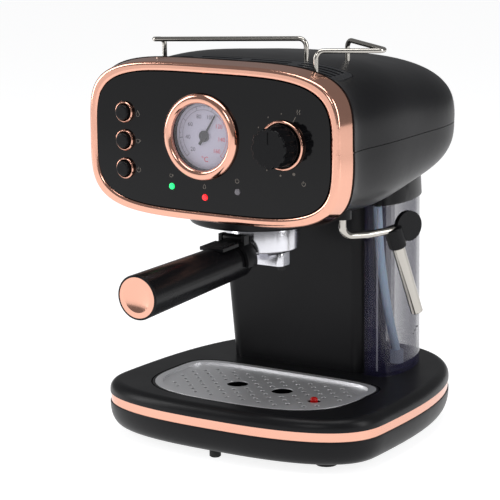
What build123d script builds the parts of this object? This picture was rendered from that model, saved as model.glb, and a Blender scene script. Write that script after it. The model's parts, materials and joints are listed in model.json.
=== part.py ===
from build123d import *
import os
from math import cos, pi, sin, radians

# Counter-top pump espresso machine, millimetres.
# Frame: +X to the user's right, +Y to the back, +Z up. The origin lies on the
# counter, under the middle of the machine's box, handle and all.

# ---- driving dimensions -------------------------------------------------------
base_half_width = 125.0
base_split_y = -24.0  # where the front and the rear curve of the base meet
base_front_reach = 62.7
base_rear_reach = 202.2
foot_height = 7.4
base_top_z = 45.0
band_low_z, band_high_z = 27.3, 34.7
wall = 2.5

head_mid_z = 252.0  # height of the panel's centre and of the head's seam
panel_half = (107.3, 53.6)  # visible opening of the front bezel
bezel_front_half = (114.6, 60.8)
bezel_back_half = (117.6, 63.2)
bezel_power = 4.05  # exponent of the squircle
bezel_front_y, bezel_back_y = -78.7, -62.0
panel_face_y = -78.2  # the panel stands almost flush with the bezel's lip
panel_inner_y = -75.2
flange_front_y, flange_back_y = -75.0, -72.0

group_y = -5.0  # vertical axis of the brew group
bowl_radius = 30.5
bowl_low_z, group_low_z = 159.0, 182.0

gauge_x, gauge_z = -8.0, head_mid_z + 4.8
knob_x, knob_z = 65.5, head_mid_z + 3.8
button_x = -79.8
button_zs = (head_mid_z + 19.4, head_mid_z - 2.8, head_mid_z - 25.2)
led_places = ((-36.1, head_mid_z - 36.0), (-5.2, head_mid_z - 42.1), (24.9, head_mid_z - 35.2))

wand_x, wand_y = 84.5, -22.0  # the swivel's vertical axis
wand_heading = 66.0  # degrees from +X towards +Y, seen from above

os.makedirs("parts", exist_ok=True)


# ---- outlines -----------------------------------------------------------------
def squircle_point(half_x, half_y, power, turn):
    """One point of the curve |x/a|^n + |y/b|^n = 1."""
    c, s = cos(turn), sin(turn)
    x = half_x * abs(c) ** (2 / power) * (1 if c >= 0 else -1)
    y = half_y * abs(s) ** (2 / power) * (1 if s >= 0 else -1)
    return x, y


def squircle(plane, half_x, half_y, power, center=(0.0, 0.0), steps=40):
    """A filled squircle on a plane."""
    points = []
    for i in range(steps):
        x, y = squircle_point(half_x, half_y, power, 2 * pi * i / steps)
        points.append((center[0] + x, center[1] + y))
    with BuildSketch(plane) as face:
        with BuildLine():
            Spline(*points, periodic=True)
        make_face()
    return face.sketch


def two_part_outline(z, half_x, split_y, front, rear, inset=0.0, steps=48):
    """A squircle whose front and rear halves have their own reach and power."""
    points = []
    for i in range(steps):
        turn = 2 * pi * i / steps
        reach, power = rear if sin(turn) >= 0 else front
        x, y = squircle_point(half_x - inset, reach - inset, power, turn)
        points.append((x, split_y + y))
    with BuildSketch(Plane.XY.offset(z)) as face:
        with BuildLine():
            Spline(*points, periodic=True)
        make_face()
    return face.sketch


def base_face(z, inset=0.0):
    front, rear = (base_front_reach, 2.66), (base_rear_reach, 2.75)
    return two_part_outline(z, base_half_width, base_split_y, front, rear, inset)


def grid_face(z, inset=0.0):
    """The drip grid's outline; a negative inset gives the tray and its well."""
    return two_part_outline(z, 90.0, 1.0, (68.0, 2.93), (39.0, 5.0), inset)


def level(z):
    return Plane.XY.offset(z)


def upright(y):
    """A plane that faces the user at depth y; its own axes are X and Z."""
    return Plane.XZ.offset(-y)


def disc(plane, radius, x=0.0, y=0.0):
    with BuildSketch(plane) as face:
        with Locations((x, y)):
            Circle(radius)
    return face.sketch


def ring(plane, outer, inner, x=0.0, y=0.0):
    with BuildSketch(plane) as face:
        with Locations((x, y)):
            Circle(outer)
            Circle(inner, mode=Mode.SUBTRACT)
    return face.sketch


def block(plane, width, height, x=0.0, y=0.0, corner=0.0):
    with BuildSketch(plane) as face:
        with Locations((x, y)):
            if corner:
                RectangleRounded(width, height, corner)
            else:
                Rectangle(width, height)
    return face.sketch


# ---- base ---------------------------------------------------------------------
tub_stations = ((foot_height, 7.5), (11.0, 3.6), (17.0, 1.0), (band_low_z, 0.0))
ledge_z = band_low_z - 2.2
band_seat_inset = 3.5

with BuildPart() as tub_inside:
    loft([base_face(z, inset + wall).faces()[0] for z, inset in tub_stations])
    split(bisect_by=level(ledge_z), keep=Keep.BOTTOM)

with BuildPart() as base_tub:
    loft([base_face(z, inset).faces()[0] for z, inset in tub_stations])
    extrude(base_face(band_low_z, band_seat_inset), amount=band_high_z - band_low_z)
    add(tub_inside.part, mode=Mode.SUBTRACT)
    extrude(base_face(ledge_z - 1.0, band_seat_inset + wall), amount=12, mode=Mode.SUBTRACT)
base_tub.part.label = "base_tub"
export_step(base_tub.part, "parts/base_tub.step")

with BuildPart() as base_plate:
    extrude(base_face(foot_height, 7.5 + wall + 0.3), amount=2.2)
base_plate.part.label = "base_plate"
export_step(base_plate.part, "parts/base_plate.step")

with BuildPart() as trim_band:
    band_low = band_low_z + 0.2
    extrude(base_face(band_low, 0.6), amount=band_high_z - band_low_z - 0.4)
    extrude(base_face(band_low, band_seat_inset), amount=20, mode=Mode.SUBTRACT)
trim_band.part.label = "trim_band"
export_step(trim_band.part, "parts/trim_band.step")

corner_feet = ((-82.0, -42.0), (82.0, -42.0), (-66.0, 132.0), (66.0, 132.0))
front_foot = (-4.0, -70.0)

with BuildPart() as rubber_feet:
    for foot_x, foot_y in corner_feet:
        extrude(disc(level(0.0), 9.0, foot_x, foot_y), amount=foot_height)
    extrude(disc(level(0.0), 4.6, *front_foot), amount=foot_height)
    chamfer(rubber_feet.edges().group_by(Axis.Z)[0], length=0.8)
rubber_feet.part.label = "rubber_feet"
export_step(rubber_feet.part, "parts/rubber_feet.step")

# The top cover carries the well that the drip tray drops into.
tray_inset, well_inset, well_outer_inset = -2.0, -3.0, -5.0
well_floor_z = 12.0

with BuildPart() as base_top_cover:
    extrude(base_face(band_high_z), amount=base_top_z - band_high_z)
    fillet(base_top_cover.edges().group_by(Axis.Z)[-1], radius=8.0)
    extrude(base_face(band_high_z, 9.0), amount=base_top_z - wall - band_high_z, mode=Mode.SUBTRACT)
    extrude(grid_face(well_floor_z, well_outer_inset), amount=base_top_z - 1.0 - well_floor_z)
    extrude(grid_face(well_floor_z + 2.0, well_inset), amount=50, mode=Mode.SUBTRACT)
base_top_cover.part.label = "base_top_cover"
export_step(base_top_cover.part, "parts/base_top_cover.step")

# ---- drip tray, grid and float ---------------------------------------------------
rest_gap = 0.05  # between a loose piece and what it rests on
tray_floor_z = well_floor_z + 2.0 + rest_gap
grid_rim_z = base_top_z + 0.2
grid_plane_z = grid_rim_z - 2.0
steel = 0.9
float_x, float_y = 59.0, -22.5
pour_holes = ((-21.4, -10.0), (21.4, -10.0))
pour_radius, float_hole_radius, drip_radius = 8.9, 5.4, 2.0
drip_pitch_x, drip_pitch_y = 15.06, 7.47

with BuildPart() as drip_tray:
    extrude(grid_face(tray_floor_z, tray_inset), amount=grid_rim_z - 0.3 - tray_floor_z)
    extrude(grid_face(tray_floor_z + 2.0, 1.8), amount=50, mode=Mode.SUBTRACT)
    extrude(grid_face(grid_rim_z - steel - rest_gap, -0.3), amount=5, mode=Mode.SUBTRACT)
drip_tray.part.label = "drip_tray"
export_step(drip_tray.part, "parts/drip_tray.step")


def drip_places():
    """Staggered rows of small holes that leave room for the three large ones."""
    places = []
    large = [(x, y, pour_radius) for x, y in pour_holes] + [(float_x, float_y, float_hole_radius)]
    for row in range(11):
        y = 19.4 - row * drip_pitch_y
        for column in range(-5, 6):
            x = (column + 0.5 * (row % 2)) * drip_pitch_x
            clear = all((x - hx) ** 2 + (y - hy) ** 2 > (r + 5.0) ** 2 for hx, hy, r in large)
            inside = abs(x / 76.0) ** 2.9 + abs((y - 1.0) / (54.0 if y < 1.0 else 24.0)) ** 2.9 < 1
            if clear and inside:
                places.append((x, y))
    return places


with BuildPart() as drip_grid:
    extrude(grid_face(grid_plane_z - steel), amount=grid_rim_z - grid_plane_z + steel)
    extrude(grid_face(grid_plane_z - 1.0), amount=1.0 + grid_rim_z - steel - grid_plane_z, mode=Mode.SUBTRACT)
    extrude(grid_face(grid_plane_z - steel, 4.6), amount=grid_rim_z - grid_plane_z + steel)
    extrude(grid_face(grid_plane_z, 4.6 + steel), amount=5, mode=Mode.SUBTRACT)
    with BuildSketch(level(grid_plane_z - 5.0)):
        with Locations(*drip_places()):
            Circle(drip_radius)
        with Locations(*pour_holes):
            Circle(pour_radius)
        with Locations((float_x, float_y)):
            Circle(float_hole_radius)
    extrude(amount=10, mode=Mode.SUBTRACT)
drip_grid.part.label = "drip_grid"
export_step(drip_grid.part, "parts/drip_grid.step")

float_low_z = tray_floor_z + 2.0 + rest_gap

with BuildPart() as tray_float:
    extrude(disc(level(float_low_z), 12.0, float_x, float_y), amount=5.0)
    extrude(disc(level(float_low_z), 3.0, float_x, float_y), amount=grid_rim_z + 1.0 - float_low_z)
    fillet(tray_float.edges().group_by(Axis.Z)[-1], radius=1.5)
tray_float.part.label = "tray_float"
export_step(tray_float.part, "parts/tray_float.step")

# ---- head shells ------------------------------------------------------------------
# Stations from front to back: depth, half width, half height, centre height, power.
head_stations = (
    (bezel_back_y, 118.6, 63.6, 252.0, 4.05),
    (-4.0, 117.2, 61.2, 252.4, 3.8),
    (56.0, 115.0, 57.5, 253.2, 3.4),
    (101.0, 112.0, 52.5, 254.0, 3.05),
    (128.0, 103.0, 46.0, 254.3, 2.9),
    (145.0, 89.0, 37.0, 254.3, 2.8),
    (156.0, 71.0, 26.0, 254.3, 2.7),
)
shell_wall = 2.6
seam_gap = 0.5


def head_body(inset):
    """The head's whole outer form, or its inside, open in front, when it is inset."""
    faces = []
    rear_y = head_stations[-1][0]
    for y, half_x, half_z, center_z, power in head_stations:
        depth = y - inset if y < 0 else y - inset * y / rear_y
        station = squircle(upright(depth), half_x - inset, half_z - inset, power, (0, center_z))
        faces.append(station.faces()[0])
    return loft(faces)


head_outer = head_body(0.0)
head_skin = head_outer - head_body(shell_wall)

# Cup rails: bent wires, each leg standing in its own hole in the top.
rail_wire = 1.9
rail_foot_z = 300.0
rail_bend = 6.0
right_rail = ((80.4, -54.6, 325.2), (121.5, -17.0, 324.2), (70.5, 9.5, 327.5))
left_rail = ((-77.0, -27.0, 324.0), (-88.0, -36.0, 324.0), (49.0, -16.5, 329.5))
rail_feet = [(rail[k][0], rail[k][1]) for rail in (right_rail, left_rail) for k in (0, 2)]

plate_half_x, plate_front_y, plate_back_y = 95.0, -50.0, -19.5
plate_mid_y = (plate_front_y + plate_back_y) / 2
plate_depth = plate_back_y - plate_front_y
plate_gap = 0.5


def rail_holes():
    with BuildPart(mode=Mode.PRIVATE) as holes:
        with BuildSketch(level(rail_foot_z - 5)):
            with Locations(*rail_feet):
                Circle(rail_wire + 0.15)
        extrude(amount=60)
    return holes.part


with BuildPart() as head_upper_shell:
    add(head_skin)
    split(bisect_by=level(head_mid_z + seam_gap / 2), keep=Keep.TOP)
    plate_opening = block(level(280), 2 * plate_half_x, plate_depth, 0, plate_mid_y, 6.0)
    extrude(plate_opening, amount=60, mode=Mode.SUBTRACT)
    add(rail_holes(), mode=Mode.SUBTRACT)
head_upper_shell.part.label = "head_upper_shell"
export_step(head_upper_shell.part, "parts/head_upper_shell.step")

slot_length, slot_width, slot_pitch_x, slot_pitch_y = 38.0, 3.0, 46.0, 6.0

with BuildPart() as cup_plate:
    add(head_skin)
    width, depth = 2 * (plate_half_x - plate_gap), plate_depth - 2 * plate_gap
    extrude(block(level(280), width, depth, 0, plate_mid_y, 5.5), amount=60, mode=Mode.INTERSECT)
    with BuildSketch(level(280)):
        with Locations((0, plate_mid_y)):
            with GridLocations(slot_pitch_x, slot_pitch_y, 4, 4):
                SlotOverall(slot_length, slot_width)
    extrude(amount=60, mode=Mode.SUBTRACT)
    add(rail_holes(), mode=Mode.SUBTRACT)
cup_plate.part.label = "cup_plate"
export_step(cup_plate.part, "parts/cup_plate.step")


def bent_wire(route, radius, bends):
    """A round bar swept along straight runs with rounded corners."""
    with BuildPart(mode=Mode.PRIVATE) as wire:
        with BuildLine() as path:
            FilletPolyline(*route, radius=bends)
        with BuildSketch(Plane(origin=path.line @ 0, z_dir=path.line % 0)):
            Circle(radius)
        sweep(path=path.line)
    return wire.part


def rail_route(rail):
    start, corner, end = rail
    return [(start[0], start[1], rail_foot_z), start, corner, end, (end[0], end[1], rail_foot_z)]


with BuildPart() as cup_rail_right:
    add(bent_wire(rail_route(right_rail), rail_wire, [rail_bend, 5.0, rail_bend]))
cup_rail_right.part.label = "cup_rail_right"
export_step(cup_rail_right.part, "parts/cup_rail_right.step")

with BuildPart() as cup_rail_left:
    add(bent_wire(rail_route(left_rail), rail_wire, [4.0, 2.4, rail_bend]))
cup_rail_left.part.label = "cup_rail_left"
export_step(cup_rail_left.part, "parts/cup_rail_left.step")

# The lower shell is open below for the group, the wand, the column and the tank's collar.
cover_y, cover_top_radius, cover_low_radius = -12.0, 56.0, 53.5
cover_top_z = 194.0
group_hole_radius, head_hole_radius = 34.0, 47.0
socket_radius, socket_low_z, socket_top_z = 7.0, 192.5, 205.0

with BuildPart() as head_lower_shell:
    add(head_skin)
    split(bisect_by=level(head_mid_z - seam_gap / 2), keep=Keep.BOTTOM)
    extrude(disc(level(150), head_hole_radius, 0, cover_y), amount=60, mode=Mode.SUBTRACT)
    extrude(disc(level(150), socket_radius + 0.2, wand_x, wand_y), amount=60, mode=Mode.SUBTRACT)
    extrude(block(level(150), 60, 30, -46, 79), amount=65, mode=Mode.SUBTRACT)
head_lower_shell.part.label = "head_lower_shell"
export_step(head_lower_shell.part, "parts/head_lower_shell.step")

with BuildPart() as group_cover:
    with BuildSketch(level(group_low_z)):
        with Locations((0, cover_y)):
            Circle(cover_low_radius)
    with BuildSketch(level(cover_top_z)):
        with Locations((0, cover_y)):
            Circle(cover_top_radius)
    loft()
    fillet(group_cover.edges().group_by(Axis.Z)[0], radius=3.0)
    extrude(disc(level(group_low_z + wall), 50.0, 0, cover_y), amount=50, mode=Mode.SUBTRACT)
    extrude(disc(level(group_low_z - 1), group_hole_radius, 0, group_y), amount=50, mode=Mode.SUBTRACT)
    add(head_outer, mode=Mode.SUBTRACT)
    frontal = squircle(upright(bezel_back_y + 1), *bezel_back_half, bezel_power, (0, head_mid_z))
    extrude(frontal, amount=30, mode=Mode.SUBTRACT)
group_cover.part.label = "group_cover"
export_step(group_cover.part, "parts/group_cover.step")

# ---- front bezel and control panel ---------------------------------------------------
pocket_half = (112.4, 58.6)

with BuildPart() as panel_bezel:
    front = squircle(upright(bezel_front_y), *bezel_front_half, bezel_power, (0, head_mid_z))
    back = squircle(upright(bezel_back_y), *bezel_back_half, bezel_power, (0, head_mid_z))
    loft([front.faces()[0], back.faces()[0]])
    opening = squircle(upright(flange_front_y), *panel_half, bezel_power, (0, head_mid_z))
    extrude(opening, amount=20, mode=Mode.SUBTRACT)
    pocket = squircle(upright(bezel_back_y + 1), *pocket_half, bezel_power, (0, head_mid_z))
    extrude(pocket, amount=bezel_back_y + 1 - flange_front_y, mode=Mode.SUBTRACT)
    fillet(panel_bezel.edges().group_by(Axis.Y)[0], radius=2.6)
panel_bezel.part.label = "panel_bezel"
export_step(panel_bezel.part, "parts/panel_bezel.step")

gauge_hole, knob_hole, button_hole, led_hole = 26.0, 4.2, 6.5, 2.6
panel_gap, panel_wall = 0.25, 3.0

with BuildPart() as control_panel:
    half_x, half_z = pocket_half[0] - panel_gap, pocket_half[1] - panel_gap
    flange = squircle(upright(flange_back_y), half_x, half_z, bezel_power, (0, head_mid_z))
    extrude(flange, amount=flange_back_y - flange_front_y)
    half_x, half_z = panel_half[0] - panel_gap, panel_half[1] - panel_gap
    raised = squircle(upright(flange_back_y), half_x, half_z, bezel_power, (0, head_mid_z))
    extrude(raised, amount=flange_back_y - panel_face_y)
    half_x, half_z = half_x - panel_wall, half_z - panel_wall
    hollow = squircle(upright(flange_back_y + 1), half_x, half_z, bezel_power, (0, head_mid_z))
    extrude(hollow, amount=flange_back_y + 1 - panel_inner_y, mode=Mode.SUBTRACT)
    with BuildSketch(upright(-60)):
        with Locations((gauge_x, gauge_z)):
            Circle(gauge_hole)
        with Locations((knob_x, knob_z)):
            Circle(knob_hole)
        with Locations(*[(button_x, z) for z in button_zs]):
            Circle(button_hole)
        with Locations(*led_places):
            Circle(led_hole)
    extrude(amount=30, mode=Mode.SUBTRACT)
control_panel.part.label = "control_panel"
export_step(control_panel.part, "parts/control_panel.step")

# ---- temperature gauge ------------------------------------------------------------------
gauge_front_y = -82.7
dial_y = -73.6  # face of the dial
dial_back_y, dial_radius = dial_y + 1.2, 25.9

with BuildPart() as gauge_bezel:
    extrude(ring(upright(panel_face_y), 33.9, 26.0, gauge_x, gauge_z), amount=panel_face_y - gauge_front_y)
    fillet(gauge_bezel.edges().group_by(Axis.Y)[0].sort_by(SortBy.RADIUS)[0], radius=3.0)
    fillet(gauge_bezel.edges().group_by(Axis.Y)[0].sort_by(SortBy.RADIUS)[-1], radius=4.0)
gauge_bezel.part.label = "gauge_bezel"
export_step(gauge_bezel.part, "parts/gauge_bezel.step")

with BuildPart() as gauge_can:
    extrude(disc(upright(-52), dial_radius, gauge_x, gauge_z), amount=-52 - dial_back_y)
    extrude(disc(upright(-54), 24.0, gauge_x, gauge_z), amount=30, mode=Mode.SUBTRACT)
gauge_can.part.label = "gauge_can"
export_step(gauge_can.part, "parts/gauge_can.step")

with BuildPart() as gauge_dial:
    extrude(ring(upright(dial_back_y), dial_radius, 1.3, gauge_x, gauge_z), amount=1.2)
gauge_dial.part.label = "gauge_dial"
export_step(gauge_dial.part, "parts/gauge_dial.step")

with BuildPart() as gauge_glass:
    extrude(disc(upright(dial_y - 2.6), dial_radius, gauge_x, gauge_z), amount=1.2)
gauge_glass.part.label = "gauge_glass"
export_step(gauge_glass.part, "parts/gauge_glass.step")

needle_turn = 32.0  # degrees clockwise from straight up, as the machine stands idle
needle_y = dial_y - 0.7
pointer = ((-1.1, -8.0), (1.1, -8.0), (0.9, 0.0), (0.35, 20.0), (-0.35, 20.0), (-0.9, 0.0))

with BuildPart() as gauge_needle:
    with BuildSketch(upright(needle_y)):
        with Locations(Location((gauge_x, gauge_z, 0), (0, 0, -needle_turn))):
            Circle(4.4)
            Polygon(*pointer, align=None)
    extrude(amount=0.7)
    extrude(disc(upright(-60), 1.25, gauge_x, gauge_z), amount=-60 - needle_y)
gauge_needle.part.label = "gauge_needle"
export_step(gauge_needle.part, "parts/gauge_needle.step")

# ---- buttons, lamps and steam knob --------------------------------------------------------
button_radius, button_front_y = 6.0, -84.0
cap_back_y = panel_inner_y + 2.0

with BuildPart() as button_rings:
    for z in button_zs:
        extrude(ring(upright(panel_face_y), 8.25, 6.5, button_x, z), amount=2.7)
    chamfer(button_rings.edges().group_by(Axis.Y)[0], length=0.7)
button_rings.part.label = "button_rings"
export_step(button_rings.part, "parts/button_rings.step")


def push_button(z):
    """A cap with a flange behind the panel, which stops it from falling out."""
    with BuildPart(mode=Mode.PRIVATE) as cap:
        cap_length = cap_back_y - button_front_y
        extrude(disc(upright(cap_back_y), button_radius, button_x, z), amount=cap_length)
        fillet(cap.edges().group_by(Axis.Y)[0], radius=1.6)
        extrude(disc(upright(cap_back_y), 7.6, button_x, z), amount=1.6)
        extrude(disc(upright(cap_back_y + 2.6), 2.0, button_x, z), amount=2.6)
    return cap.part


button_names = ("button_brew", "button_cups", "button_power")
for name, z in zip(button_names, button_zs):
    with BuildPart() as button:
        add(push_button(z))
    button.part.label = name
    export_step(button.part, f"parts/{name}.step")

board_front_y, board_back_y = -60.6, -59.0

with BuildPart() as circuit_board:
    board = board_back_y - board_front_y
    extrude(block(upright(board_back_y), 30.0, 80.0, -78.0, head_mid_z - 3.0, 2.0), amount=board)
    extrude(block(upright(board_back_y), 98.0, 16.0, -20.0, head_mid_z - 38.0, 2.0), amount=board)
    for z in button_zs:  # the switches that the button stems press
        extrude(block(upright(board_front_y), 9.0, 9.0, button_x, z), amount=6.6)
circuit_board.part.label = "circuit_board"
export_step(circuit_board.part, "parts/circuit_board.step")

led_names = ("led_ready", "led_heating", "led_steam")
for name, (x, z) in zip(led_names, led_places):
    with BuildPart() as led:
        extrude(disc(upright(board_front_y), led_hole - 0.1, x, z), amount=board_front_y - panel_face_y + 0.9)
        fillet(led.edges().group_by(Axis.Y)[0], radius=0.8)
    led.part.label = name
    export_step(led.part, f"parts/{name}.step")

knob_front_y, knob_radius, knob_flutes = -98.5, 15.4, 12
knob_back_y = panel_face_y - 2.4
spindle_radius, spindle_back_y, spindle_front_y = 3.0, -51.0, knob_back_y - 8.0

with BuildPart() as knob_ring:
    extrude(ring(upright(panel_face_y), 19.1, 16.6, knob_x, knob_z), amount=3.0)
    chamfer(knob_ring.edges().group_by(Axis.Y)[0], length=0.8)
knob_ring.part.label = "knob_ring"
export_step(knob_ring.part, "parts/knob_ring.step")

with BuildPart() as steam_knob:
    with BuildSketch(upright(knob_back_y)):
        with Locations((knob_x, knob_z)):
            Circle(knob_radius)
            with PolarLocations(knob_radius + 0.9, knob_flutes, start_angle=90 + 180 / knob_flutes):
                Circle(2.1, mode=Mode.SUBTRACT)
    extrude(amount=knob_back_y - knob_front_y)
    chamfer(steam_knob.edges().group_by(Axis.Y)[0], length=0.7)
    extrude(disc(upright(knob_back_y), knob_radius + 0.6, knob_x, knob_z), amount=2.5)
    bore = disc(upright(-60), spindle_radius, knob_x, knob_z)
    extrude(bore, amount=-60 - spindle_front_y, mode=Mode.SUBTRACT)
    extrude(block(upright(knob_front_y + 0.6), 1.8, 9.0, knob_x, knob_z + 8.0), amount=5, mode=Mode.SUBTRACT)
steam_knob.part.label = "steam_knob"
export_step(steam_knob.part, "parts/steam_knob.step")

# ---- steam valve and knob spindle -------------------------------------------------------
with BuildPart() as steam_valve:
    extrude(block(upright(-40), 26.0, 26.0, knob_x, knob_z, 3.0), amount=18)
    extrude(disc(upright(-58), 8.0, knob_x, knob_z), amount=6)
    extrude(disc(upright(-50), spindle_radius + 0.05, knob_x, knob_z), amount=30, mode=Mode.SUBTRACT)
    extrude(disc(level(knob_z - 30), 5.0, knob_x, -49.0), amount=17.5)
steam_valve.part.label = "steam_valve"
export_step(steam_valve.part, "parts/steam_valve.step")

with BuildPart() as valve_spindle:
    spindle = disc(upright(spindle_back_y), spindle_radius, knob_x, knob_z)
    extrude(spindle, amount=spindle_back_y - spindle_front_y)
valve_spindle.part.label = "valve_spindle"
export_step(valve_spindle.part, "parts/valve_spindle.step")

# ---- brew group, boiler and pump -------------------------------------------------------
ring_outer, ring_inner = 33.8, 31.9
ring_low_z, ring_top_z = group_low_z - 1.4, 200.0
ramp_low_z, ramp_high_z = group_low_z - 1.0, 184.0
lug_z, lug_height, lug_radius, neck_radius = 184.05, 3.6, 31.2, 28.8
lug_sweep, ramp_sweep = 34.0, 46.0  # degrees of arc


def arc_block(inner, outer, sweep_degrees, turn, low, high):
    """A piece of a ring, centred on a direction, about the group's axis."""
    reach = outer * 1.6
    half = radians(sweep_degrees / 2)
    toward = (cos(radians(turn)), sin(radians(turn)), 0)
    with BuildSketch(Plane(origin=(0, group_y, low), x_dir=toward, z_dir=(0, 0, 1))) as face:
        Circle(outer)
        Circle(inner, mode=Mode.SUBTRACT)
        with BuildLine():
            x, y = reach * cos(half), reach * sin(half)
            Polyline((0, 0), (x, y), (x, -y), close=True)
        make_face(mode=Mode.INTERSECT)
    return extrude(face.sketch, amount=high - low, mode=Mode.PRIVATE)


with BuildPart() as group_ring:
    extrude(ring(level(ring_low_z), ring_outer, ring_inner, 0, group_y), amount=ring_top_z - ring_low_z)
    for turn in (0, 180):
        add(arc_block(neck_radius + 0.4, ring_inner + 0.5, ramp_sweep, turn, ramp_low_z, ramp_high_z))
group_ring.part.label = "group_ring"
export_step(group_ring.part, "parts/group_ring.step")

rim_z = 188.8
gasket_z, gasket_top_z = rim_z + rest_gap, 196.0

with BuildPart() as group_gasket:
    extrude(ring(level(gasket_z), 30.5, 25.2, 0, group_y), amount=gasket_top_z - gasket_z)
group_gasket.part.label = "group_gasket"
export_step(group_gasket.part, "parts/group_gasket.step")

boiler_low_z, boiler_high_z = 200.0, 236.0

with BuildPart() as boiler:
    extrude(disc(level(gasket_top_z), 31.5, 0, group_y), amount=4.0)
    extrude(disc(level(boiler_low_z), 38.0, 0, group_y), amount=boiler_high_z - boiler_low_z)
    extrude(disc(level(191.0), 12.0, 0, group_y), amount=5.0)
    extrude(disc(level(180.0), 2.0, 0, group_y), amount=26, mode=Mode.SUBTRACT)
    with Locations((0, group_y, (boiler_low_z + boiler_high_z) / 2)):
        Box(90, 14, 8)
boiler.part.label = "boiler"
export_step(boiler.part, "parts/boiler.step")

with BuildPart() as shower_screen:
    extrude(disc(level(190.2), 24.6, 0, group_y), amount=2.0)
    extrude(disc(level(191.0), 23.6, 0, group_y), amount=2.0, mode=Mode.SUBTRACT)
    with BuildSketch(level(188)):
        with Locations((0, group_y)):
            for count, radius in ((6, 7.0), (12, 13.0), (18, 19.0)):
                with PolarLocations(radius, count):
                    Circle(0.8)
            Circle(2.0)
    extrude(amount=5, mode=Mode.SUBTRACT)
shower_screen.part.label = "shower_screen"
export_step(shower_screen.part, "parts/shower_screen.step")

with BuildPart() as screen_screw:
    extrude(disc(level(188.9), 4.0, 0, group_y), amount=1.3)
    extrude(disc(level(190.2), 1.95, 0, group_y), amount=12)
screen_screw.part.label = "screen_screw"
export_step(screen_screw.part, "parts/screen_screw.step")

with BuildPart() as thermostats:
    for x in (-16.0, 16.0):
        extrude(disc(level(boiler_high_z), 8.0, x, group_y), amount=5)
        extrude(block(level(boiler_high_z + 5), 4.0, 10.0, x, group_y), amount=5)
thermostats.part.label = "thermostats"
export_step(thermostats.part, "parts/thermostats.step")

# ---- column -------------------------------------------------------------------------------
column_low_z, column_high_z = base_top_z, 232.0
column_front_y, column_back_y, leg_back_y = 61.0, 104.0, 130.0


def column_face(z, inset=0.0):
    """The column widens to the left as it rises; its plan is an L."""
    rise = (z - base_top_z) / 146.0
    left, right, front = -74.0 - 14.5 * rise + inset, 55.0 - inset, column_front_y + inset
    inner_x, back, leg_back = -22.0 - inset, column_back_y - inset, leg_back_y - inset
    corners = [(left, front), (right, front), (right, back)]
    corners += [(inner_x, back), (inner_x, leg_back), (left, leg_back)]
    with BuildSketch(level(z)) as face:
        with BuildLine():
            Polyline(*corners, close=True)
        make_face()
        outer = face.vertices().sort_by(Axis.Y)[:2]
        fillet(outer, radius=11.0 - inset)
        rear = face.vertices().filter_by(lambda v: v.Y > leg_back - 1 or v.Y > back - 1 and v.X > 30)
        fillet(rear, radius=5.0 - inset / 2)
    return face.sketch


seal_x, seal_z = 18.0, 57.0
pump_x, pump_y = -49.0, 108.0
inlet_z, cover_z = 54.5, 122.0

with BuildPart() as column_inside:
    low, high = column_low_z - 1, column_high_z + 1
    loft([column_face(low, wall).faces()[0], column_face(high, wall).faces()[0]])

with BuildPart() as column_shell:
    loft([column_face(column_low_z).faces()[0], column_face(column_high_z).faces()[0]])
    add(column_inside.part, mode=Mode.SUBTRACT)
    add(head_outer, mode=Mode.SUBTRACT)
    extrude(disc(upright(120), 9.2, seal_x, seal_z), amount=25, mode=Mode.SUBTRACT)
    extrude(block(upright(leg_back_y + 5), 34.0, 116.0, pump_x, cover_z, 3.0), amount=12, mode=Mode.SUBTRACT)
    extrude(disc(upright(leg_back_y + 5), 6.2, pump_x, inlet_z), amount=12, mode=Mode.SUBTRACT)
column_shell.part.label = "column_shell"
export_step(column_shell.part, "parts/column_shell.step")

with BuildPart() as column_back_cover:
    extrude(block(upright(leg_back_y - 0.3), 33.4, 115.4, pump_x, cover_z, 2.7), amount=2.0)
    with BuildSketch(upright(leg_back_y + 5)):
        with Locations((pump_x, 150.0)):
            with GridLocations(1, 7.0, 1, 7):
                SlotOverall(24.0, 3.0)
    extrude(amount=12, mode=Mode.SUBTRACT)
column_back_cover.part.label = "column_back_cover"
export_step(column_back_cover.part, "parts/column_back_cover.step")

with BuildPart() as cord_inlet:
    extrude(disc(upright(leg_back_y + 3), 8.0, pump_x, inlet_z), amount=3)
    extrude(disc(upright(leg_back_y), 6.0, pump_x, inlet_z), amount=6)
    extrude(disc(upright(leg_back_y + 5), 3.6, pump_x, inlet_z), amount=20, mode=Mode.SUBTRACT)
cord_inlet.part.label = "cord_inlet"
export_step(cord_inlet.part, "parts/cord_inlet.step")

pump_low_z, pump_high_z = 70.0, 138.0

with BuildPart() as pump:
    extrude(block(level(pump_low_z + 14), 34.0, 34.0, pump_x, pump_y, 3.0), amount=38)
    extrude(disc(level(pump_low_z), 11.0, pump_x, pump_y), amount=pump_high_z - pump_low_z)
    extrude(disc(level(pump_high_z), 4.0, pump_x, pump_y), amount=10)
    extrude(disc(level(pump_low_z - 8), 4.0, pump_x, pump_y), amount=8)
    for side in (-1, 1):  # bracket legs that stand on the base
        extrude(block(level(base_top_z), 3.0, 26.0, pump_x + side * 15.5, pump_y), amount=45)
pump.part.label = "pump"
export_step(pump.part, "parts/pump.step")

# Hoses: from the tank's seal to the pump, from the pump to the boiler, and from
# the boiler's steam side to the valve and the wand's socket.
hose_radius = 3.0
seal_front_y = 97.0

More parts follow.
